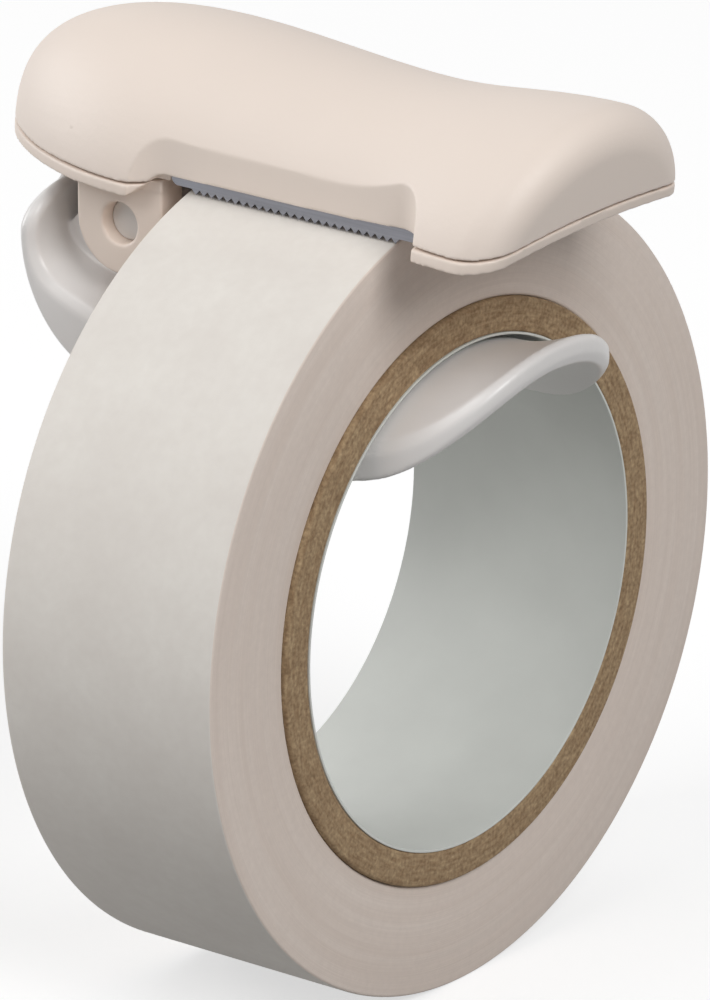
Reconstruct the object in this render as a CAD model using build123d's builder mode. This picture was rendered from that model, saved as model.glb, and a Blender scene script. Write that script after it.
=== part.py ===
"""Clip-on tape cutter, clamped over the wall of a roll of paper tape.

The roll lies along X with its centre at the origin, the cutting edge faces -Y and +Z is up.
All sizes are in millimetres.
"""
import os
from math import acos, atan2, cos, pi, radians, sin, sqrt

from build123d import *

os.makedirs("parts", exist_ok=True)

# Roll of tape
tape_width = 15.0
tape_radius = 24.0
core_radius = 17.4
kraft_wall = 1.9
liner_wall = 0.3
core_proud = 0.3

# Clearances
glue_line = 0.02
jaw_clearance = 0.3
running_clearance = 0.05
press_clearance = 0.02
moulding_fit = 0.06
side_clearance = 0.6
seam_gap = 0.12
tooth_clearance = 0.12

# Cover: heights over the tape, and where along X they stand
form_floor_drop = 1.8
hump_rise = 7.2
hump_x = -11.0
saddle_rise = 6.2
saddle_x = 4.5
tail_rise = 6.8
tail_x = 14.5
nose_length = 13.9
nose_plan_power = 1.62
nose_crest_power = 2.42
body_half_width = 8.4
tail_half_width = 10.0
tail_foot_x = 15.8
tail_lean = 18.0
tail_round = 2.0
cover_wall = 1.2
nose_shares = [0.995, 0.97, 0.92, 0.84, 0.72, 0.56, 0.38, 0.19]
body_steps = 8

# Rim, seam and jaw floor: shallow arches across the body, rising a little towards the tail
rim_drop = 0.65
rim_arch_radius = 80.0
rim_tilt = 2.2
rim_band = 0.7
floor_thickness = 2.6
plug_wall = 1.0

# Front panel, set back into the cover's side
panel_y = 7.5
panel_left_x = -8.0
panel_right_x = 8.0
panel_left_blend = 4.6
panel_right_blend = 2.4
panel_skin = 0.45
panel_foot_drop = 0.1

# Blade
blade_left_x = -8.45
blade_length = 18.6
blade_thickness = 0.25
blade_height = 2.7
blade_corner = 0.4
tooth_pitch = 0.65
tooth_depth = 0.45
tooth_count = 24
blade_wall = 1.0
peg_radius = 0.6
peg_spacing = 11.0

# Hinge
pivot_reach = 3.9
pivot_drop = 3.8
pin_radius = 1.25
pin_recess = 1.35
pin_chamfer = 0.15
ear_radius = 3.1
ear_face_y = 7.0
ear_thickness = 2.0
ear_root = 0.3
cheek_gap = 0.2
cheek_thickness = 1.3
cheek_radius = 3.05
cheek_boss_sweep = 135.0
cheek_foot_sweep = 70.0

# Lever
tongue_thickness = 1.7
tongue_half_width = 9.9
tongue_shoulder_x = 2.0
tongue_tip_x = 13.7
tongue_plan_power = 3.2
tongue_plan_steps = 8
lip_rise = 1.6
lip_start_x = 6.2
lip_slope = 0.5
thumb_drop = 0.1
thumb_curl_radius = 4.6
thumb_curl_angle = 50.0
thumb_wall = 1.2
bend_inset = 1.9
thumb_half_width = 8.0
thumb_top_half_width = 3.9
thumb_shoulder_drop = 1.6
thumb_neck_rise = 0.95
lever_edge_bevel = 0.45

# Spring
wire_radius = 0.3
wire_sides = 6
coil_radius = 2.0
coil_turns = 3
coil_pitch = 0.72
leg_gap = 0.05
upper_leg_rise = 0.6

# Sizes that follow from those above
core_length = tape_width + 2 * core_proud
liner_radius = core_radius - kraft_wall
bore_radius = liner_radius - liner_wall
channel_radius = tape_radius + jaw_clearance
form_floor = tape_radius - form_floor_drop
hump_height = tape_radius + hump_rise
saddle_height = tape_radius + saddle_rise
tail_height = tape_radius + tail_rise
rim_height = tape_radius - rim_drop
panel_foot_z = tape_radius - panel_foot_drop
tongue_radius = bore_radius - jaw_clearance
jaw_edge_x = core_length / 2 + side_clearance
pivot_x = -jaw_edge_x - pivot_reach
pivot_height = tape_radius - pivot_drop
ear_inner_y = ear_face_y - ear_thickness
cheek_outer_y = ear_inner_y - cheek_gap
cheek_inner_y = cheek_outer_y - cheek_thickness
blade_front_y = panel_y - panel_skin - moulding_fit
blade_back_y = blade_front_y - blade_thickness
blade_right_x = blade_left_x + blade_length
tooth_tip_z = sqrt((tape_radius + tooth_clearance) ** 2 - blade_front_y**2)
blade_top_z = tooth_tip_z + blade_height
blade_centre_x = blade_left_x + blade_length / 2
tongue_inner = tongue_radius - tongue_thickness
thumb_level = pivot_height - thumb_drop
thumb_radius = thumb_level - tongue_inner
thumb_shoulder_z = pivot_height - thumb_shoulder_drop
thumb_neck_z = pivot_height + thumb_neck_rise
far = 60.0


def crest_height(x, inset):
    """Height of the cover's crest line at x."""
    hump = hump_height - inset
    saddle = saddle_height - inset
    tail = tail_height - inset
    if x < hump_x:
        reach = (hump_x - x) / (nose_length - inset)
        return form_floor + (hump - form_floor) * (1 - reach**nose_crest_power) ** (1 / nose_crest_power)
    if x < saddle_x:
        return saddle + (hump - saddle) * (1 + cos(pi * (x - hump_x) / (saddle_x - hump_x))) / 2
    if x < tail_x:
        return saddle + (tail - saddle) * (1 + cos(pi * (tail_x - x) / (tail_x - saddle_x))) / 2
    return tail


def half_width(x, inset):
    """Half of the cover's width at its foot, at x."""
    body = body_half_width - inset
    if x < hump_x:
        reach = (hump_x - x) / (nose_length - inset)
        return body * (1 - reach**nose_plan_power) ** (1 / nose_plan_power)
    if x < saddle_x:
        return body
    flare = (1 - cos(pi * min(1.0, (x - saddle_x) / (tail_x - saddle_x)))) / 2
    return body + (tail_half_width - body_half_width) * flare


def saddle_form(inset):
    """The cover's full body, drawn in by the inset on every side but its flat floor."""
    loft_end_x = tail_foot_x + tail_height - rim_height
    stations = [hump_x - share * (nose_length - inset) for share in nose_shares]
    stations += [hump_x + (loft_end_x - hump_x) * step / body_steps for step in range(body_steps + 1)]
    with BuildPart() as form:
        for x in stations:
            with BuildSketch(Plane(origin=(x, 0, form_floor), x_dir=(0, 1, 0), z_dir=(1, 0, 0))):
                with BuildLine():
                    height = crest_height(x, inset) - form_floor
                    arch = EllipticalCenterArc((0, 0), half_width(x, inset), height, start_angle=0, arc_size=180)
                    Line(arch @ 1, arch @ 0)
                make_face()
        loft()
        lean = radians(tail_lean)
        end_plane = Plane((tail_foot_x - inset, 0, rim_height), x_dir=(0, 1, 0), z_dir=(cos(lean), 0, -sin(lean)))
        split(bisect_by=end_plane, keep=Keep.BOTTOM)
        end_face = form.faces().filter_by(GeomType.PLANE).sort_by(Axis.X)[-1]
        fillet(end_face.edges().sort_by(SortBy.LENGTH)[-1], tail_round - inset / 2)
    return form.part


def under_arch(lift):
    """Everything below the rim's arch when that arch is lifted."""
    tilt = radians(rim_tilt)
    with BuildPart() as block:
        with BuildSketch(Plane((0, 0, rim_height + lift), x_dir=(0, 1, 0), z_dir=(cos(tilt), 0, sin(tilt)))):
            reach = 2 * tail_half_width
            sag = rim_arch_radius - sqrt(rim_arch_radius**2 - reach**2)
            with BuildLine():
                arch = ThreePointArc((-reach, -sag), (0, 0), (reach, -sag))
                Polyline(arch @ 1, (reach, -far), (-reach, -far), arch @ 0)
            make_face()
        extrude(amount=far, both=True)
    return block.part


def panel_recess(inset):
    """The space in front of the panel, whose surface moves back into the body by the inset."""
    left_centre = (panel_left_x, -panel_y - panel_left_blend)
    right_centre = (panel_right_x, -panel_y - panel_right_blend)
    with BuildPart() as recess:
        with BuildSketch(Plane.XY):
            with BuildLine():
                left = CenterArc(left_centre, panel_left_blend + inset, 90, 90)
                right = CenterArc(right_centre, panel_right_blend + inset, 90, -90)
                Line(left @ 0, right @ 0)
                Polyline(right @ 1, ((right @ 1).X, -far), ((left @ 1).X, -far), left @ 1)
            make_face()
        extrude(amount=far)
    return recess.part


outer_form = saddle_form(0)
inner_form = saddle_form(cover_wall)
plug_form = saddle_form(cover_wall + moulding_fit)
window_form = saddle_form(cover_wall + moulding_fit + plug_wall)
panel_front = panel_recess(0)
panel_back = panel_recess(cover_wall)
panel_plug = panel_recess(cover_wall + moulding_fit)

# Top cover: saddle-shaped shell with the panel in its front side and a pocket behind it for the blade
with BuildPart() as cover_cavity:
    add(inner_form)
    add(panel_back, mode=Mode.SUBTRACT)

with BuildPart() as top_cover:
    add(outer_form)
    add(panel_front, mode=Mode.SUBTRACT)
    add(cover_cavity.part, mode=Mode.SUBTRACT)
    add(under_arch(rim_band + seam_gap), mode=Mode.SUBTRACT)
    with BuildSketch(Plane.XY.offset(form_floor)):
        pocket_front = panel_y - panel_skin
        with Locations((blade_centre_x, -(pocket_front + blade_back_y - blade_wall) / 2)):
            pocket_length = blade_length + 2 * moulding_fit
            Rectangle(pocket_length, pocket_front - blade_back_y + blade_wall)
    extrude(amount=blade_top_z + moulding_fit - form_floor, mode=Mode.SUBTRACT)
    with BuildSketch(Plane.XY.offset(form_floor)):
        with Locations((blade_centre_x, -blade_back_y)):
            Rectangle(blade_length + 2 * moulding_fit, far, align=(Align.CENTER, Align.MAX))
    extrude(amount=panel_foot_z - form_floor, mode=Mode.SUBTRACT)
top_cover.part.label = "top_cover"
export_step(top_cover.part, "parts/top_cover.step")

# Base frame: rim band, jaw floor over the tape, blade wall with two pegs, and the hinge ears
with BuildPart() as base_plug:
    add(plug_form)
    add(panel_plug, mode=Mode.SUBTRACT)
    add(under_arch(floor_thickness), mode=Mode.INTERSECT)

with BuildPart() as window:
    add(window_form)
    with BuildSketch(Plane.XY):
        with Locations((-jaw_edge_x, 0)):
            Rectangle(far, 2 * ear_inner_y, align=(Align.MAX, Align.CENTER))
    extrude(amount=far, mode=Mode.INTERSECT)

with BuildPart() as base_frame:
    add(outer_form)
    add(panel_front, mode=Mode.SUBTRACT)
    add(under_arch(rim_band), mode=Mode.INTERSECT)
    add(base_plug.part)
    with BuildSketch(Plane.XY):
        with Locations((blade_centre_x, -blade_back_y)):
            Rectangle(blade_length + 2 * moulding_fit, far, align=(Align.CENTER, Align.MAX))
    extrude(amount=far, mode=Mode.SUBTRACT)
    with BuildSketch(Plane.XY.offset(form_floor)):
        with Locations((blade_centre_x, -blade_back_y)):
            Rectangle(blade_length, blade_wall, align=(Align.CENTER, Align.MIN))
    extrude(amount=blade_top_z - form_floor)
    add(under_arch(0), mode=Mode.SUBTRACT)
    with BuildSketch(Plane.YZ):
        Circle(channel_radius)
    extrude(amount=jaw_edge_x, both=True, mode=Mode.SUBTRACT)
    add(window.part, mode=Mode.SUBTRACT)
    for side in (-1, 1):
        with BuildSketch(Plane.XZ.offset(-side * ear_inner_y)):
            with Locations((pivot_x, pivot_height)):
                Circle(ear_radius)
                Rectangle(2 * ear_radius, rim_height - ear_root - pivot_height, align=(Align.CENTER, Align.MIN))
                Circle(pin_radius + press_clearance, mode=Mode.SUBTRACT)
        extrude(amount=-side * ear_thickness)
    with BuildSketch(Plane.XZ.offset(blade_back_y)):
        with Locations((blade_centre_x, (tooth_tip_z + tooth_depth + blade_top_z) / 2)):
            with GridLocations(peg_spacing, 1, 2, 1):
                Circle(peg_radius)
    extrude(amount=blade_thickness)
base_frame.part.label = "base_frame"
export_step(base_frame.part, "parts/base_frame.step")

# Cutter blade: thin strip with a saw edge between two plain ends
with BuildPart() as cutter_blade:
    with BuildSketch(Plane.XZ.offset(blade_back_y)):
        root_z = tooth_tip_z + tooth_depth
        first_tooth_x = blade_centre_x - tooth_count * tooth_pitch / 2
        saw_edge = [(first_tooth_x, root_z)]
        for tooth in range(tooth_count):
            saw_edge.append((first_tooth_x + (tooth + 0.5) * tooth_pitch, tooth_tip_z))
            saw_edge.append((first_tooth_x + (tooth + 1) * tooth_pitch, root_z))
        with BuildLine():
            Polyline(
                (blade_left_x, root_z),
                *saw_edge,
                (blade_right_x, root_z),
                (blade_right_x, blade_top_z),
                (blade_left_x, blade_top_z),
                close=True,
            )
        make_face()
        with Locations((blade_centre_x, (root_z + blade_top_z) / 2)):
            with GridLocations(peg_spacing, 1, 2, 1):
                Circle(peg_radius + moulding_fit, mode=Mode.SUBTRACT)
    extrude(amount=blade_thickness)
    ends = cutter_blade.edges().filter_by(Axis.Y).sort_by(Axis.X)
    fillet(ends[:2] + ends[-2:], blade_corner)
cutter_blade.part.label = "cutter_blade"
export_step(cutter_blade.part, "parts/cutter_blade.step")

# Clip lever: one strip turned about the roll's axis makes the tongue, its flared lip and the thumb plate
with BuildPart() as clip_lever:
    with BuildSketch(Plane.XZ):
        with BuildLine():
            curl_x = pivot_x - thumb_radius + thumb_curl_radius
            bend = CenterArc((pivot_x, thumb_level), thumb_radius, -90, -90)
            curl = CenterArc((curl_x, thumb_level), thumb_curl_radius, 180, -thumb_curl_angle)
            inner_curl = CenterArc((curl_x, thumb_level), thumb_curl_radius - thumb_wall, 180, -thumb_curl_angle)
            Line(curl @ 1, inner_curl @ 1)
            inside = Spline(
                inner_curl @ 0,
                (pivot_x - bend_inset, tongue_radius + bend_inset),
                (-jaw_edge_x, tongue_radius),
                tangents=[(0, -1), (1, 0)],
            )
            top = Line(inside @ 1, (lip_start_x, tongue_radius))
            lip = Spline(top @ 1, (tongue_tip_x, tongue_radius + lip_rise), tangents=[(1, 0), (1, lip_slope)])
            tip = Line(lip @ 1, lip @ 1 - Vector(0, tongue_thickness))
            under_lip = Spline(tip @ 1, (lip_start_x, tongue_inner), tangents=[(-1, -lip_slope), (-1, 0)])
            Line(under_lip @ 1, bend @ 0)
        make_face()
    revolve(axis=Axis.X)
    with BuildSketch(Plane.XY):
        with BuildLine():
            outline = []
            for step in range(tongue_plan_steps + 1):
                turn = pi / 2 * step / tongue_plan_steps
                along = (tongue_tip_x - tongue_shoulder_x) * cos(turn) ** (2 / tongue_plan_power)
                across = tongue_half_width * sin(turn) ** (2 / tongue_plan_power)
                outline.append((tongue_shoulder_x + along, across))
            nib = Spline(*outline, tangents=[(0, 1), (-1, 0)])
            flank = Spline(nib @ 1, (pivot_x, thumb_half_width), tangents=[(-1, 0), (-1, 0)])
            Polyline(flank @ 1, (-far, thumb_half_width), (-far, 0))
            mirror(about=Plane.XZ)
        make_face()
    extrude(amount=far, mode=Mode.INTERSECT)
    with BuildSketch(Plane.YZ):
        with BuildLine():
            brow = EllipticalCenterArc(
                (thumb_top_half_width, thumb_shoulder_z),
                thumb_half_width - thumb_top_half_width,
                thumb_neck_z - thumb_shoulder_z,
                start_angle=0,
                arc_size=90,
            )
            Polyline((0, 0), (far, 0), (far, thumb_shoulder_z), brow @ 0)
            Polyline(brow @ 1, (thumb_top_half_width, far), (0, far))
            mirror(about=Plane.YZ)
        make_face()
    extrude(amount=far, both=True, mode=Mode.INTERSECT)
    chamfer(clip_lever.edges(), lever_edge_bevel)
    for side in (-1, 1):
        with BuildSketch(Plane.XZ.offset(-side * cheek_inner_y)):
            with BuildLine():
                boss = CenterArc((pivot_x, pivot_height), cheek_radius, 0, cheek_boss_sweep)
                foot_radius = thumb_radius - tongue_thickness / 4
                foot = CenterArc((pivot_x, thumb_level), foot_radius, -90, -cheek_foot_sweep)
                Line(boss @ 1, foot @ 1)
                Polyline(foot @ 0, (pivot_x + cheek_radius, (foot @ 0).Y), boss @ 0)
            make_face()
            with Locations((pivot_x, pivot_height)):
                Circle(pin_radius + running_clearance, mode=Mode.SUBTRACT)
        extrude(amount=-side * cheek_thickness)
clip_lever.part.label = "clip_lever"
export_step(clip_lever.part, "parts/clip_lever.step")

# Hinge pin: pressed into both ears, its ends below their faces
with BuildPart() as hinge_pin:
    with BuildSketch(Plane.XZ):
        with Locations((pivot_x, pivot_height)):
            Circle(pin_radius)
    extrude(amount=ear_face_y - pin_recess, both=True)
    chamfer(hinge_pin.edges().filter_by(GeomType.CIRCLE), pin_chamfer)
hinge_pin.part.label = "hinge_pin"
export_step(hinge_pin.part, "parts/hinge_pin.step")

# Torsion spring: a coil on the pin, one leg against the jaw floor's edge, one on the thumb plate
with BuildPart() as torsion_spring:
    reach = wire_radius + leg_gap
    upper_x = -jaw_edge_x - reach - pivot_x
    upper_z = channel_radius + upper_leg_rise - pivot_height
    lower_x = reach * cos(pi / 4) - bend_inset
    lower_z = tongue_radius + bend_inset + reach * sin(pi / 4) - pivot_height
    upper_span = sqrt(upper_x**2 + upper_z**2)
    lower_span = sqrt(lower_x**2 + lower_z**2)
    coil_start = atan2(lower_z, lower_x) + acos(coil_radius / lower_span)
    coil_end = atan2(upper_z, upper_x) - acos(coil_radius / upper_span)
    coil_sweep = coil_turns + (coil_end - coil_start) / (2 * pi)
    coil_half = coil_sweep * coil_pitch / 2
    coil_plane = Plane(
        origin=(pivot_x, coil_half, pivot_height),
        x_dir=(cos(coil_start), 0, sin(coil_start)),
        z_dir=(0, -1, 0),
    )
    with BuildLine() as coil:
        Helix(coil_pitch, coil_sweep * coil_pitch, coil_radius)
    wire = coil_plane.location * coil.line.edges()[0]
    with BuildSketch(Plane(origin=wire @ 0, z_dir=wire % 0)):
        RegularPolygon(wire_radius, wire_sides)
    sweep(path=wire, is_frenet=True)
    with BuildSketch(Plane(origin=wire @ 0, z_dir=(wire % 0) * -1)):
        RegularPolygon(wire_radius, wire_sides)
    extrude(amount=sqrt(lower_span**2 - coil_radius**2))
    with BuildSketch(Plane(origin=wire @ 1, z_dir=wire % 1)):
        RegularPolygon(wire_radius, wire_sides)
    extrude(amount=sqrt(upper_span**2 - coil_radius**2))
torsion_spring.part.label = "torsion_spring"
export_step(torsion_spring.part, "parts/torsion_spring.step")

# Roll: wound tape on a kraft tube with a thin white lining
with BuildPart() as tape_winding:
    with BuildSketch(Plane.YZ):
        Circle(tape_radius)
        Circle(core_radius + glue_line, mode=Mode.SUBTRACT)
    extrude(amount=tape_width / 2, both=True)
tape_winding.part.label = "tape_winding"
export_step(tape_winding.part, "parts/tape_winding.step")

with BuildPart() as core_tube:
    with BuildSketch(Plane.YZ):
        Circle(core_radius)
        Circle(liner_radius + glue_line, mode=Mode.SUBTRACT)
    extrude(amount=core_length / 2, both=True)
core_tube.part.label = "core_tube"
export_step(core_tube.part, "parts/core_tube.step")

with BuildPart() as core_liner:
    with BuildSketch(Plane.YZ):
        Circle(liner_radius)
        Circle(bore_radius, mode=Mode.SUBTRACT)
    extrude(amount=core_length / 2, both=True)
core_liner.part.label = "core_liner"
export_step(core_liner.part, "parts/core_liner.step")
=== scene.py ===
# %% [markdown]
# A clip-on tape cutter sits over the wall of a roll of paper tape. The imported CAD model is the
# frame of this lesson: every piece that is made here lies where the CAD says, in metres, and moves
# with its body. The CAD box is kept straight away and printed.

# %% Load the frame
import math

import bpy
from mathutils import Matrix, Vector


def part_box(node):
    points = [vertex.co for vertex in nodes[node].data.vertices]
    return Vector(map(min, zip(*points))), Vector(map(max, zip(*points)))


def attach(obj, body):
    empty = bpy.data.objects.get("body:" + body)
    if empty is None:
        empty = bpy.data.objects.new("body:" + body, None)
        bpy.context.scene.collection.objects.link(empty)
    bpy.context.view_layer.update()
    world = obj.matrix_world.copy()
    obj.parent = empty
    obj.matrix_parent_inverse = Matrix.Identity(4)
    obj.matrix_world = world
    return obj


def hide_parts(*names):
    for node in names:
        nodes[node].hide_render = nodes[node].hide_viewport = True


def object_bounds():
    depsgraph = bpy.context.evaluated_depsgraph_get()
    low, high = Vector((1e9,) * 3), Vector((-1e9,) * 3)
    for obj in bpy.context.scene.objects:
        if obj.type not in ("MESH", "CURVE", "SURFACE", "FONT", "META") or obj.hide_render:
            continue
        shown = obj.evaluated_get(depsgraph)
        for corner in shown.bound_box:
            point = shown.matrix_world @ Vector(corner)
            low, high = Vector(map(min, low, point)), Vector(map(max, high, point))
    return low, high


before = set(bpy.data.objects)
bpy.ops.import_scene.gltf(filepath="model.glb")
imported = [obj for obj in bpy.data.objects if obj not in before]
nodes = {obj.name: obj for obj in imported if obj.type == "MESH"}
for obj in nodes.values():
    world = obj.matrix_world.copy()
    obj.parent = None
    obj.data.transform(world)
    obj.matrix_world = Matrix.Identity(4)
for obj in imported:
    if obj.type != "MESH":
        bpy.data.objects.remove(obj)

cad_box = [list(corner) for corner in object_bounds()]
MM = 0.001
MERGE_DISTANCE = 0.001 * MM
SMOOTH_ANGLE = math.radians(40)
WHITE = (1, 1, 1, 1)
print("CAD box", cad_box)


# %% [markdown]
# The camera is the first thing to settle, because every comparison depends on it. A long lens
# stands far off, so the roll's two faces look almost the same size. Its place was worked out from
# the two rims of the roll, and the picture's centre is the lens's centre, so no shift is needed.

# %% Camera
CAMERA_PLACE = (331.66 * MM, -436.65 * MM, 206.83 * MM)
CAMERA_AZIMUTH = 37.27
CAMERA_ELEVATION = 20.303
CAMERA_LENS = 364.1
SENSOR_WIDTH = 36
CLIP_START = 0.01

bpy.ops.object.camera_add(
    location=CAMERA_PLACE,
    rotation=(math.radians(90 - CAMERA_ELEVATION), 0, math.radians(CAMERA_AZIMUTH)),
)
camera = bpy.context.object
camera.data.lens = CAMERA_LENS
camera.data.sensor_width = SENSOR_WIDTH
camera.data.sensor_fit = "AUTO"
camera.data.clip_start = CLIP_START
bpy.context.scene.camera = camera
print("camera stands", round(camera.location.length, 3), "m from the roll's centre")


# %% [markdown]
# The object stands in a plain soft studio. One broad lamp stands high at the right and lights the
# top and the roll's right face, a low one at the left lights the thumb plate and the inside of the
# core, and a weaker one at the front fills the cover's side. An even world fills what is left. The
# light adds up to about one on a surface that faces it, so colours render much as they are written.

# %% Lamps and world
LAMP_DISTANCE = 1.0
LAMPS = {
    "right_lamp": {"direction": (0.72, -0.25, 0.65), "size": 0.5, "level": 0.54},
    "front_lamp": {"direction": (-0.2, -0.6, 0.77), "size": 0.6, "level": 0.29},
    "left_lamp": {"direction": (-0.96, -0.2, 0.15), "size": 0.6, "level": 0.52},
}
SKY_SHARE = 0.22

for name, lamp_plan in LAMPS.items():
    place = [LAMP_DISTANCE * part for part in lamp_plan["direction"]]
    bpy.ops.object.light_add(type="AREA", location=place)
    lamp = bpy.context.object
    lamp.name = name
    lamp.data.size = lamp_plan["size"]
    lamp.data.energy = lamp_plan["level"] * math.pi**2 * LAMP_DISTANCE**2
    lamp.rotation_euler = lamp.location.to_track_quat("Z", "Y").to_euler()


def seen_directly(tree):
    """1 where a ray from the camera, a mirror or a glass arrives, and 0 for the light given off."""
    path = tree.nodes.new("ShaderNodeLightPath")
    total = path.outputs["Is Camera Ray"]
    for name in ("Is Glossy Ray", "Is Transmission Ray"):
        either = tree.nodes.new("ShaderNodeMath")
        either.operation = "MAXIMUM"
        tree.links.new(total, either.inputs[0])
        tree.links.new(path.outputs[name], either.inputs[1])
        total = either.outputs[0]
    return total


def choose_by_ray(tree, for_light, for_eye, output):
    """Send one shader to the light's rays and another to the rays that are seen directly."""
    choice = tree.nodes.new("ShaderNodeMixShader")
    tree.links.new(seen_directly(tree), choice.inputs["Fac"])
    tree.links.new(for_light.outputs[0], choice.inputs[1])
    tree.links.new(for_eye.outputs[0], choice.inputs[2])
    tree.links.new(choice.outputs[0], tree.nodes[output].inputs["Surface"])


world = bpy.data.worlds.new("studio")
bpy.context.scene.world = world
world.use_nodes = True
tree = world.node_tree
sky = tree.nodes["Background"]
sky.inputs["Color"].default_value = WHITE
sky.inputs["Strength"].default_value = SKY_SHARE
backdrop = tree.nodes.new("ShaderNodeBackground")
backdrop.inputs["Color"].default_value = WHITE
choose_by_ray(tree, sky, backdrop, "World Output")
bpy.context.scene.view_settings.view_transform = "Standard"
print(len(LAMPS), "lamps")


# %% [markdown]
# The floor looks almost white to the camera and still keeps the object's soft shadow, but it throws
# only a little light back, so that the undersides stay in shade. Two shaders do this: the camera
# sees a pale one with a glow of its own, and the light meets a darker grey one.

# %% Floor
FLOOR_Z = cad_box[0][2]
FLOOR_SIZE = 6
FLOOR_BOUNCE = 0.3
FLOOR_PALE = 0.5
FLOOR_GLOW = 0.62

bpy.ops.mesh.primitive_plane_add(size=FLOOR_SIZE, location=(0, 0, FLOOR_Z))
floor = bpy.context.object
floor.name = "floor"
floor_look = bpy.data.materials.new("studio_floor")
floor_look.use_nodes = True
tree = floor_look.node_tree
tree.nodes.remove(tree.nodes["Principled BSDF"])
bounce = tree.nodes.new("ShaderNodeBsdfDiffuse")
bounce.inputs["Color"].default_value = (FLOOR_BOUNCE, FLOOR_BOUNCE, FLOOR_BOUNCE, 1)
pale = tree.nodes.new("ShaderNodeBsdfDiffuse")
pale.inputs["Color"].default_value = (FLOOR_PALE, FLOOR_PALE, FLOOR_PALE, 1)
glow = tree.nodes.new("ShaderNodeEmission")
glow.inputs["Strength"].default_value = FLOOR_GLOW
seen = tree.nodes.new("ShaderNodeAddShader")
tree.links.new(pale.outputs[0], seen.inputs[0])
tree.links.new(glow.outputs[0], seen.inputs[1])
choose_by_ray(tree, bounce, seen, "Material Output")
floor.data.materials.append(floor_look)
print("floor at", FLOOR_Z)


# %% [markdown]
# The cover, the frame and the lever are injection mouldings, and no edge on a moulding is sharp.
# Their CAD solids have the right forms with crisp edges. Bevelling a CAD mesh edge by edge fails on
# its long thin triangles, so each piece starts as a merged copy of its solid, is remeshed into
# small even faces and then smoothed, which rounds every edge by about the size that a moulding tool
# leaves. Last, faces that flat places don't need are taken out.

# %% Mouldings
SMOOTH_FACTOR = 0.5
PILLAR_SIDES = 128


def settle(piece, body, node):
    """Let a finished piece ride on its body and stand for its CAD node, which is hidden."""
    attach(piece, body)
    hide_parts(node)
    print(piece.name, len(piece.data.polygons), "faces")


def apply_modifier(piece, kind, **settings):
    """Add one modifier to the piece and apply it."""
    modifier = piece.modifiers.new(kind.lower(), kind)
    for key, value in settings.items():
        setattr(modifier, key, value)
    bpy.ops.object.modifier_apply(modifier=modifier.name)


def rounded_moulding(name, node, grid, rounds, keep, cutters=()):
    """A copy of a CAD solid, cut and with rounded edges.

    The grid is the size of its new faces, rounds says how often they are smoothed, and keep is the
    share of them that stays.
    """
    bpy.ops.object.select_all(action="DESELECT")
    piece = bpy.data.objects.new(name, nodes[node].data.copy())
    bpy.context.scene.collection.objects.link(piece)
    piece.select_set(True)
    bpy.context.view_layer.objects.active = piece
    bpy.ops.object.mode_set(mode="EDIT")
    bpy.ops.mesh.select_all(action="SELECT")
    bpy.ops.mesh.remove_doubles(threshold=MERGE_DISTANCE)
    bpy.ops.object.mode_set(mode="OBJECT")
    for cutter in cutters:
        apply_modifier(piece, "BOOLEAN", operation="DIFFERENCE", solver="EXACT", object=cutter)
    apply_modifier(piece, "REMESH", mode="VOXEL", voxel_size=grid, use_smooth_shade=True)
    apply_modifier(piece, "SMOOTH", factor=SMOOTH_FACTOR, iterations=rounds)
    apply_modifier(piece, "DECIMATE", ratio=keep)
    bpy.ops.object.shade_smooth()
    return piece


def smooth_step(value, start, end):
    """0 before the start, 1 after the end, and an S curve between them."""
    share = min(1.0, max(0.0, (value - start) / (end - start)))
    return share * share * (3 - 2 * share)


def block(low, high, turn=0.0):
    """A box between two corners, turned about its own upright axis."""
    bpy.ops.object.select_all(action="DESELECT")
    middle = [(first + last) / 2 for first, last in zip(low, high)]
    size = [last - first for first, last in zip(low, high)]
    bpy.ops.mesh.primitive_cube_add(size=1, location=middle, rotation=(0, 0, turn), scale=size)
    return bpy.context.object


def pillar(x, y, radius, low, high):
    """An upright cylinder."""
    bpy.ops.object.select_all(action="DESELECT")
    bpy.ops.mesh.primitive_cylinder_add(
        vertices=PILLAR_SIDES, radius=radius, depth=high - low, location=(x, y, (low + high) / 2)
    )
    return bpy.context.object


def upright_grid(low, high, columns):
    """A grid with one row that faces the front, between two corners and halfway along Y."""
    bpy.ops.object.select_all(action="DESELECT")
    bpy.ops.mesh.primitive_grid_add(
        x_subdivisions=columns,
        y_subdivisions=1,
        size=1,
        location=[(first + last) / 2 for first, last in zip(low, high)],
        rotation=(math.pi / 2, 0, 0),
    )
    grid = bpy.context.object
    grid.scale = (high[0] - low[0], high[2] - low[2], 1)
    bpy.ops.object.transform_apply(location=True, rotation=True, scale=True)
    return grid


# %% [markdown]
# Some cuts are finer than the CAD holds. The blade's mouth ends at the left in an S curve that runs
# from the rim's foot up to the panel's foot, so its cutter is a grid whose upper edge follows that
# curve. The panel lies a little deeper at its right end, which keeps its upper edge straight, and
# the rim is cut back flush with the panel.

# %% Cutters for the panel and the mouth
PANEL_LEFT_X = -8.0 * MM
PANEL_RIGHT_X = 8.0 * MM
PANEL_Y = -7.5 * MM
PANEL_DEEPER = 0.2 * MM
PANEL_LEFT_BLEND = 4.6 * MM
PANEL_RIGHT_BLEND = 2.4 * MM
MOUTH_START_X = -11.2 * MM
MOUTH_LEFT_X = -8.6 * MM
MOUTH_RIGHT_X = 9.4 * MM
MOUTH_BACK_Y = -7.06 * MM
MOUTH_FOOT_Z = 22.4 * MM
MOUTH_TOP_Z = 24.02 * MM
MOUTH_COLUMNS = 120
CUT_FRONT_Y = -14 * MM
CUT_LOW_Z = 21 * MM
CUT_HIGH_Z = 31 * MM
EAR_SIDE_X = -9.15 * MM
EAR_BACK_Y = -5.5 * MM

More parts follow.
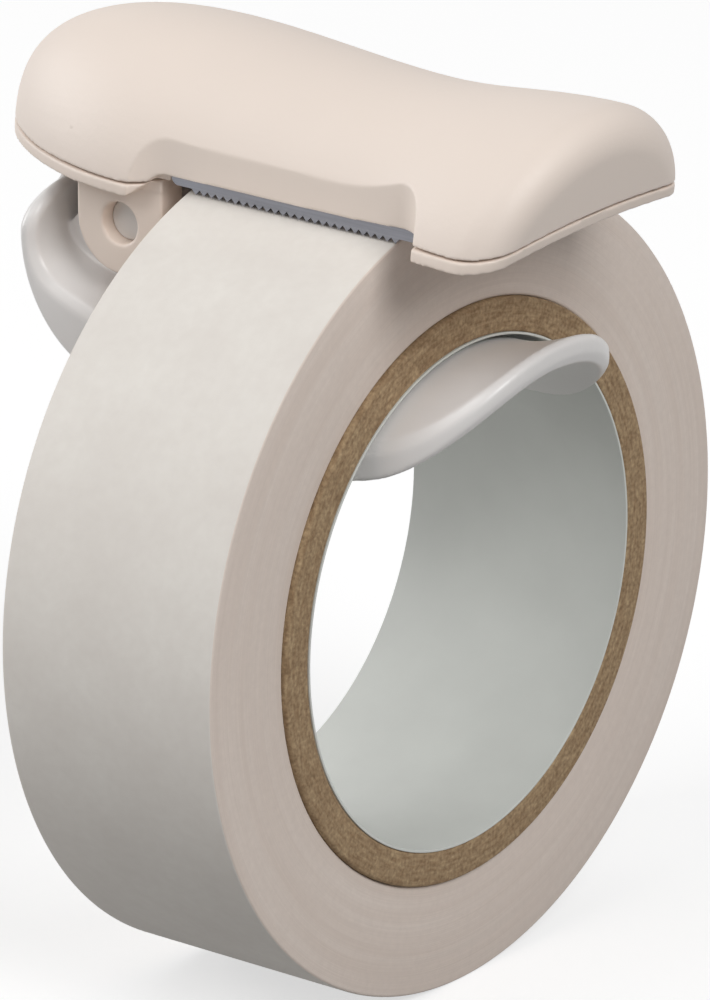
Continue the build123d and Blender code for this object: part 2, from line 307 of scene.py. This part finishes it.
mouth = upright_grid(
    (MOUTH_START_X, CUT_FRONT_Y, CUT_LOW_Z),
    (MOUTH_RIGHT_X, MOUTH_BACK_Y, MOUTH_TOP_Z),
    MOUTH_COLUMNS,
)
for vertex in mouth.data.vertices:
    if vertex.co.z > MOUTH_FOOT_Z:
        rise = smooth_step(vertex.co.x, MOUTH_START_X, MOUTH_LEFT_X)
        vertex.co.z = MOUTH_FOOT_Z + (MOUTH_TOP_Z - MOUTH_FOOT_Z) * rise
apply_modifier(mouth, "SOLIDIFY", thickness=MOUTH_BACK_Y - CUT_FRONT_Y, offset=0)

panel_cut = block(
    (PANEL_LEFT_X, CUT_FRONT_Y, CUT_LOW_Z),
    (PANEL_RIGHT_X, PANEL_Y + PANEL_DEEPER / 2, CUT_HIGH_Z),
    math.atan2(PANEL_DEEPER, PANEL_RIGHT_X - PANEL_LEFT_X),
)
right_y = PANEL_Y + PANEL_DEEPER - PANEL_RIGHT_BLEND
panel_right = pillar(PANEL_RIGHT_X, right_y, PANEL_RIGHT_BLEND, CUT_LOW_Z, CUT_HIGH_Z)
left_y = PANEL_Y - PANEL_LEFT_BLEND
rim_relief = pillar(PANEL_LEFT_X, left_y, PANEL_LEFT_BLEND, CUT_LOW_Z, MOUTH_TOP_Z)
blade_end = block(
    (EAR_SIDE_X, CUT_FRONT_Y, CUT_LOW_Z),
    (PANEL_LEFT_X, EAR_BACK_Y, MOUTH_TOP_Z),
)

# %% [markdown]
# With the cutters ready, the three mouldings are made. The cover and the frame take a fine grid,
# because the seam between them and the panel's edges are crisp. The lever is smoothed more often,
# because its edges are rounder.

# %% Cover, frame and lever
cover_shell = rounded_moulding(
    "cover_shell", "top_cover",
    grid=0.09 * MM, rounds=7, keep=0.25, cutters=[panel_cut, panel_right, mouth],
)
frame_moulding = rounded_moulding(
    "frame_moulding", "base_frame",
    grid=0.09 * MM, rounds=7, keep=0.3, cutters=[rim_relief, mouth, blade_end],
)
lever_moulding = rounded_moulding(
    "lever_moulding", "clip_lever",
    grid=0.12 * MM, rounds=12, keep=0.45,
)
for cutter in (mouth, panel_cut, panel_right, rim_relief, blade_end):
    bpy.data.objects.remove(cutter)

# %% [markdown]
# The lever's tongue narrows a little towards its lip and the lip turns up, so both are eased into
# the finished mesh with the same S curve.

# %% Tongue and lip
TONGUE_NARROWING = 0.06
TONGUE_START_X = 0.0
LIP_START_X = 8 * MM
LIP_LIFT = 0.3 * MM
LIP_REACH = 0.4 * MM

tongue_tip_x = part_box("clip_lever")[1].x
for vertex in lever_moulding.data.vertices:
    lip_share = smooth_step(vertex.co.x, LIP_START_X, tongue_tip_x)
    tongue_share = smooth_step(vertex.co.x, TONGUE_START_X, tongue_tip_x)
    vertex.co.y *= 1 - TONGUE_NARROWING * tongue_share
    vertex.co.z += LIP_LIFT * lip_share
    vertex.co.x += LIP_REACH * lip_share
settle(cover_shell, "clip_body", "top_cover")
settle(frame_moulding, "clip_body", "base_frame")
settle(lever_moulding, "lever", "clip_lever")


# %% [markdown]
# The blade is a stamped steel strip with fine teeth. A toothed edge could be cut tooth by tooth,
# but a row of points is quicker: a grid has two columns for each tooth, and every other point of
# its lower edge is pushed up. Plain ends are extruded on, the corners are rounded, and the strip
# gets its thickness.

# %% Blade
TOOTH_COUNT = 26
TOOTH_PITCH = 0.57 * MM
TOOTH_DEPTH = 0.3 * MM
LEFT_TAB = 1.45 * MM
BLADE_CORNER = 0.45 * MM
BLADE_CORNER_STEPS = 5
NEAR = TOOTH_PITCH / 10

low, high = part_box("cutter_blade")
teeth_left = low.x + LEFT_TAB
teeth_right = teeth_left + TOOTH_COUNT * TOOTH_PITCH
blade_strip = upright_grid(
    (teeth_left, low.y, low.z), (teeth_right, high.y, high.z), 2 * TOOTH_COUNT
)
blade_strip.name = "blade_strip"


def pick(piece, test):
    """Select the vertices of a piece whose places pass a test, and go to edit mode."""
    bpy.ops.object.mode_set(mode="EDIT")
    bpy.ops.mesh.select_mode(type="VERT")
    bpy.ops.mesh.select_all(action="DESELECT")
    bpy.ops.object.mode_set(mode="OBJECT")
    for vertex in piece.data.vertices:
        vertex.select = test(vertex.co)
    bpy.ops.object.mode_set(mode="EDIT")


def between_teeth(place):
    """True for the points of the lower edge that lie between two teeth."""
    column = round(2 * (place.x - teeth_left) / TOOTH_PITCH)
    return place.z < (low.z + high.z) / 2 and column % 2 == 0


pick(blade_strip, between_teeth)
bpy.ops.transform.translate(value=(0, 0, TOOTH_DEPTH))
for edge_x, reach in ((teeth_left, low.x - teeth_left), (teeth_right, high.x - teeth_right)):
    pick(blade_strip, lambda place: abs(place.x - edge_x) < NEAR)
    bpy.ops.mesh.extrude_region_move(TRANSFORM_OT_translate={"value": (reach, 0, 0)})
pick(blade_strip, lambda place: min(place.x - low.x, high.x - place.x) < NEAR)
bpy.ops.mesh.bevel(offset=BLADE_CORNER, segments=BLADE_CORNER_STEPS, affect="VERTICES")
bpy.ops.object.mode_set(mode="OBJECT")
apply_modifier(blade_strip, "SOLIDIFY", thickness=high.y - low.y, offset=0)
settle(blade_strip, "clip_body", "cutter_blade")


# %% [markdown]
# The hinge pin is a plain turned pin. A cylinder of the CAD pin's radius is laid along Y, a little
# longer than in the CAD so that its end stands near the ear's face, and its two rims are rounded.

# %% Hinge pin
PIN_END_Y = 6.1 * MM
PIN_ROUND = 0.15 * MM
PIN_SIDES = 96
ROUND_STEPS = 4

low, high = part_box("hinge_pin")
bpy.ops.object.select_all(action="DESELECT")
bpy.ops.mesh.primitive_cylinder_add(
    vertices=PIN_SIDES,
    radius=(high.x - low.x) / 2,
    depth=2 * PIN_END_Y,
    location=((low.x + high.x) / 2, 0, (low.z + high.z) / 2),
    rotation=(math.pi / 2, 0, 0),
)
pin_barrel = bpy.context.object
pin_barrel.name = "pin_barrel"
bpy.ops.object.transform_apply(location=True, rotation=True, scale=True)
apply_modifier(pin_barrel, "BEVEL", width=PIN_ROUND, segments=ROUND_STEPS, limit_method="ANGLE")
bpy.ops.object.shade_smooth_by_angle(angle=SMOOTH_ANGLE)
settle(pin_barrel, "clip_body", "hinge_pin")


# %% [markdown]
# The roll is three rings about the X axis. Each could be a cylinder with a hole cut in it, but a
# ring is quicker to turn, as on a lathe: a plane is stretched to the ring's cross-section, its
# corners are rounded, and the outline is spun once round the axis. Sizes are read from the CAD
# meshes, apart from the lining, which is thinner than in the CAD and leaves the rest to the board.

# %% Rings of the roll
RING_STEPS = 240
LINING_WALL = 0.15 * MM
TAPE_ROUND = 0.18 * MM
BOARD_ROUND = 0.2 * MM
LINING_ROUND = 0.04 * MM


def turned_ring(name, width, inner, outer, rounding):
    """A ring about the X axis from its width, two radii and the rounding of its edges."""
    bpy.ops.object.select_all(action="DESELECT")
    bpy.ops.mesh.primitive_plane_add(
        size=1, location=(0, 0, (inner + outer) / 2), rotation=(math.pi / 2, 0, 0)
    )
    ring = bpy.context.object
    ring.name = name
    ring.scale = (width, outer - inner, 1)
    bpy.ops.object.transform_apply(location=True, rotation=True, scale=True)
    bpy.ops.object.mode_set(mode="EDIT")
    bpy.ops.mesh.select_all(action="SELECT")
    bpy.ops.mesh.bevel(offset=rounding, segments=ROUND_STEPS, affect="VERTICES")
    bpy.ops.mesh.select_all(action="SELECT")
    bpy.ops.mesh.delete(type="ONLY_FACE")
    bpy.ops.mesh.select_all(action="SELECT")
    bpy.ops.mesh.spin(steps=RING_STEPS, angle=2 * math.pi, center=(0, 0, 0), axis=(1, 0, 0))
    bpy.ops.mesh.select_all(action="SELECT")
    bpy.ops.mesh.remove_doubles(threshold=MERGE_DISTANCE)
    bpy.ops.mesh.normals_make_consistent(inside=False)
    bpy.ops.object.mode_set(mode="OBJECT")
    bpy.ops.object.shade_smooth_by_angle(angle=SMOOTH_ANGLE)
    return ring


def ring_sizes(node):
    """Width, smallest and largest radius of a CAD ring about the X axis."""
    radii = [math.hypot(vertex.co.y, vertex.co.z) for vertex in nodes[node].data.vertices]
    low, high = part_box(node)
    return high.x - low.x, min(radii), max(radii)


core_width, bore_radius, _ = ring_sizes("core_liner")
lining_outer = bore_radius + LINING_WALL
board_outer = ring_sizes("core_tube")[2]
tape_roll = turned_ring("tape_roll", *ring_sizes("tape_winding"), TAPE_ROUND)
kraft_core = turned_ring("kraft_core", core_width, lining_outer, board_outer, BOARD_ROUND)
white_lining = turned_ring("white_lining", core_width, bore_radius, lining_outer, LINING_ROUND)
settle(tape_roll, "roll", "tape_winding")
settle(kraft_core, "roll", "core_tube")
settle(white_lining, "roll", "core_liner")


# %% [markdown]
# Finishes are node materials on Object coordinates, so they stay on the piece when it moves. A few
# small helpers keep them short: one turns a screen colour into the linear one that a shader wants,
# one starts a material, and one adds a node with its settings and links.

# %% Helpers for finishes
NOISE_LOW = 0.3
NOISE_HIGH = 0.7


def screen_colour(red, green, blue):
    """A linear colour with alpha from a colour in 0 to 255 as a screen shows it."""
    linear = []
    for value in (red, green, blue):
        share = value / 255
        linear.append(share / 12.92 if share <= 0.04045 else ((share + 0.055) / 1.055) ** 2.4)
    return (*linear, 1)


def darker(colour, share):
    """The same colour with less light in it."""
    return tuple(share * channel for channel in colour[:3]) + (1,)


class Finish:
    """A material under construction: its node tree, its surface shader and its coordinates."""

    def __init__(self, name, roughness, metallic=0.0):
        self.material = bpy.data.materials.new(name)
        self.material.use_nodes = True
        self.tree = self.material.node_tree
        self.surface = self.tree.nodes["Principled BSDF"]
        self.surface.inputs["Roughness"].default_value = roughness
        self.surface.inputs["Metallic"].default_value = metallic
        self.coordinates = self.tree.nodes.new("ShaderNodeTexCoord")
        self.place = self.coordinates.outputs["Object"]

    def feed(self, socket, value):
        """Give a socket a number, a colour or another node's output."""
        if isinstance(value, bpy.types.NodeSocket):
            self.tree.links.new(value, socket)
        else:
            socket.default_value = value

    def node(self, kind, settings=None, **inputs):
        """A new node with its settings; inputs go by name, or as i0, i1 and so on by number."""
        made = self.tree.nodes.new("ShaderNode" + kind)
        for key, value in (settings or {}).items():
            setattr(made, key, value)
        for key, value in inputs.items():
            by_number = key[0] == "i" and key[1:].isdigit()
            self.feed(made.inputs[int(key[1:]) if by_number else key], value)
        return made

    def math(self, operation, first, second=0.0):
        """One sum on one or two values."""
        return self.node("Math", {"operation": operation}, i0=first, i1=second).outputs[0]

    def noise(self, scale, detail=2.0, place=None):
        """Soft noise, mostly between 0.3 and 0.7; scale is in cells per metre."""
        vector = self.place if place is None else place
        return self.node("TexNoise", Vector=vector, Scale=scale, Detail=detail).outputs["Fac"]

    def blend(self, share, low, high):
        """A colour between two others."""
        made = self.node("Mix", {"data_type": "RGBA"}, i0=share, i6=low, i7=high)
        return made.outputs[2]

    def spread(self, value, low, high):
        """Stretch the noise's middle range over low to high."""
        made = self.node("MapRange", Value=value)
        made.inputs["From Min"].default_value = NOISE_LOW
        made.inputs["From Max"].default_value = NOISE_HIGH
        made.inputs["To Min"].default_value = low
        made.inputs["To Max"].default_value = high
        return made.outputs["Result"]

    def link(self, output, name):
        """Feed one of the surface's sockets."""
        self.tree.links.new(output, self.surface.inputs[name])

    def relief(self, height, depth, strength):
        """Bump from a height between 0 and 1; depth is in metres."""
        bump = self.node("Bump", Height=height, Strength=strength, Distance=depth)
        self.link(bump.outputs["Normal"], "Normal")

    def ring_place(self):
        """Radius, angle and depth along the roll's axis, the first and last as lengths."""
        parts = self.node("SeparateXYZ", Vector=self.place)
        x, y, z = parts.outputs
        squares = self.math("ADD", self.math("MULTIPLY", y, y), self.math("MULTIPLY", z, z))
        return self.math("SQRT", squares), self.math("ARCTAN2", y, z), x

    def ring_noise(self, across, around, deep, detail):
        """Noise drawn out round the roll: cells per metre of radius, per turn and per metre deep."""
        radius, angle, along = self.ring_place()
        side = self.math("MULTIPLY", self.math("COSINE", angle), around)
        rise = self.math("MULTIPLY", self.math("SINE", angle), around)
        place = self.node(
            "CombineXYZ",
            X=self.math("MULTIPLY", radius, across),
            Y=side,
            Z=self.math("ADD", self.math("MULTIPLY", along, deep), rise),
        )
        return self.noise(1.0, detail, place.outputs[0])


def dress(piece, finish):
    """Give a piece one finish all over."""
    piece.data.materials.clear()
    piece.data.materials.append(finish.material)


# %% [markdown]
# The cover and the frame are one warm beige plastic, moulded in a finely etched tool. A fine noise
# makes the etched grain as bump, a broad one makes a barely visible change of tone, and the surface
# stays dull.

# %% Beige plastic
COVER_BEIGE = screen_colour(240, 226, 215)
FRAME_BEIGE = screen_colour(236, 221, 209)
BEIGE_CLOUD_SCALE = 90
BEIGE_GRAIN_SCALE = 5200
BEIGE_SHADE = 0.975
BEIGE_GRAIN_DEPTH = 0.02 * MM


def beige_plastic(name, tone):
    """Matt moulded plastic with a fine etched grain."""
    finish = Finish(name, roughness=0.5)
    cloud = finish.spread(finish.noise(BEIGE_CLOUD_SCALE, detail=3), 0, 1)
    finish.link(finish.blend(cloud, darker(tone, BEIGE_SHADE), tone), "Base Color")
    grain = finish.noise(BEIGE_GRAIN_SCALE, detail=2)
    finish.link(finish.spread(grain, 0.46, 0.56), "Roughness")
    finish.relief(grain, BEIGE_GRAIN_DEPTH, strength=0.25)
    return finish


dress(cover_shell, beige_plastic("cover_beige", COVER_BEIGE))
dress(frame_moulding, beige_plastic("frame_beige", FRAME_BEIGE))


# %% [markdown]
# The lever and its pin are a light grey plastic from a smoother tool. It has no grain, so its
# highlights are tighter than on the cover, and only a faint cloud changes its tone.

# %% Grey satin plastic
LEVER_GREY = screen_colour(232, 229, 227)
PIN_GREY = screen_colour(228, 225, 222)
GREY_CLOUD_SCALE = 120
GREY_SHADE = 0.96


def grey_plastic(name, tone):
    """Light grey plastic with a satin shine."""
    finish = Finish(name, roughness=0.3)
    cloud = finish.spread(finish.noise(GREY_CLOUD_SCALE, detail=3), 0, 1)
    finish.link(finish.blend(cloud, darker(tone, GREY_SHADE), tone), "Base Color")
    return finish


dress(lever_moulding, grey_plastic("lever_grey", LEVER_GREY))
dress(pin_barrel, grey_plastic("pin_grey", PIN_GREY))


# %% [markdown]
# The blade and the spring are steel. Fine lines along X stand for the rolled strip's brush marks;
# the spring's wire has an even grain.

# %% Steel
BLADE_GREY = screen_colour(142, 143, 150)
SPRING_GREY = screen_colour(165, 165, 168)
STRIP_LINES = (150, 6000, 6000)
WIRE_GRAIN = (3000, 3000, 3000)
STEEL_SHADE = 0.75
STEEL_LINE_DEPTH = 0.01 * MM


def steel(name, tone, stretch):
    """Bright steel with fine drawn lines; stretch squeezes the noise along each axis."""
    finish = Finish(name, roughness=0.42, metallic=1.0)
    mapping = finish.node("Mapping", Vector=finish.place, Scale=stretch)
    lines = finish.noise(1.0, detail=4, place=mapping.outputs["Vector"])
    share = finish.spread(lines, 0, 1)
    finish.link(finish.blend(share, darker(tone, STEEL_SHADE), tone), "Base Color")
    finish.link(finish.spread(lines, 0.36, 0.5), "Roughness")
    finish.relief(lines, STEEL_LINE_DEPTH, strength=0.25)
    return finish


dress(blade_strip, steel("blade_steel", BLADE_GREY, STRIP_LINES))
dress(nodes["torsion_spring"], steel("spring_steel", SPRING_GREY, WIRE_GRAIN))


# %% [markdown]
# The roll has three papers. The tape shows a fibrous crepe on its outer turn and the edges of its
# many turns on its faces. Which of the two shows is told by the surface's own direction.

# %% Paper tape
CREPE_LOW = screen_colour(229, 223, 216)
CREPE_HIGH = screen_colour(235, 230, 223)
CREPE_FIBRE = screen_colour(219, 212, 204)
EDGE_LOW = screen_colour(226, 211, 200)
EDGE_HIGH = screen_colour(233, 220, 210)
EDGE_TURN = screen_colour(200, 186, 176)
EDGE_GRAIN = screen_colour(212, 198, 188)
FACE_LIMIT = 0.6
TAPE_RELIEF = 0.03 * MM


def tape_paper(name):
    """Crepe paper outside, stacked edges of the turns on the faces."""
    finish = Finish(name, roughness=0.7)
    fibre = finish.noise(1500, detail=4)
    mottle = finish.noise(240, detail=3)
    outer = finish.blend(finish.spread(mottle, 0, 1), CREPE_LOW, CREPE_HIGH)
    outer = finish.blend(finish.spread(fibre, 0, 0.25), outer, CREPE_FIBRE)
    turns = finish.ring_noise(across=14000, around=1.5, deep=0, detail=2)
    streaks = finish.ring_noise(across=1300, around=1.0, deep=0, detail=3)
    grain = finish.noise(2600, detail=3)
    face = finish.blend(finish.spread(streaks, 0, 1), EDGE_LOW, EDGE_HIGH)
    face = finish.blend(finish.spread(turns, 0, 0.22), face, EDGE_TURN)
    face = finish.blend(finish.spread(grain, 0, 0.3), face, EDGE_GRAIN)
    normal = finish.node("SeparateXYZ", Vector=finish.coordinates.outputs["Normal"])
    sideways = finish.math("ABSOLUTE", normal.outputs[0])
    is_face = finish.math("GREATER_THAN", sideways, FACE_LIMIT)
    finish.link(finish.blend(is_face, outer, face), "Base Color")
    height = finish.node("Mix", {"data_type": "FLOAT"}, Factor=is_face, A=fibre, B=turns)
    finish.relief(height.outputs[0], TAPE_RELIEF, strength=0.4)
    return finish


dress(tape_roll, tape_paper("tape_paper"))


# %% [markdown]
# The core is raw brown board, wound in plies and cut with a blade, so its end shows specks and
# loose fibres that run round the ring. The noise is drawn out along the ring for the plies and even
# for specks.

# %% Kraft board
KRAFT_DARK = screen_colour(156, 128, 96)
KRAFT_LIGHT = screen_colour(196, 170, 134)
KRAFT_FLECK = screen_colour(98, 74, 50)
KRAFT_RELIEF = 0.1 * MM


def kraft_board(name):
    """Raw brown board with plies, specks and loose fibres."""
    finish = Finish(name, roughness=0.9)
    plies = finish.ring_noise(across=4500, around=14, deep=3500, detail=5)
    flecks = finish.noise(4200, detail=4)
    tone = finish.blend(finish.spread(plies, 0, 1), KRAFT_DARK, KRAFT_LIGHT)
    tone = finish.blend(finish.spread(flecks, 0, 0.6), tone, KRAFT_FLECK)
    finish.link(tone, "Base Color")
    finish.relief(flecks, KRAFT_RELIEF, strength=0.7)
    return finish


dress(kraft_core, kraft_board("kraft_board"))


# %% [markdown]
# The lining is a smooth white paper with a slight shine. Only a faint mottle breaks its tone.

# %% Lining paper
LINING_WHITE = screen_colour(214, 216, 211)
LINING_SHADE = 0.94
LINING_RELIEF = 0.01 * MM


def lining_paper(name):
    """Smooth coated white paper."""
    finish = Finish(name, roughness=0.38)
    mottle = finish.spread(finish.noise(220, detail=4), 0, 1)
    shade = darker(LINING_WHITE, LINING_SHADE)
    finish.link(finish.blend(mottle, shade, LINING_WHITE), "Base Color")
    finish.relief(finish.noise(1500, detail=3), LINING_RELIEF, strength=0.2)
    return finish


dress(white_lining, lining_paper("lining_paper"))
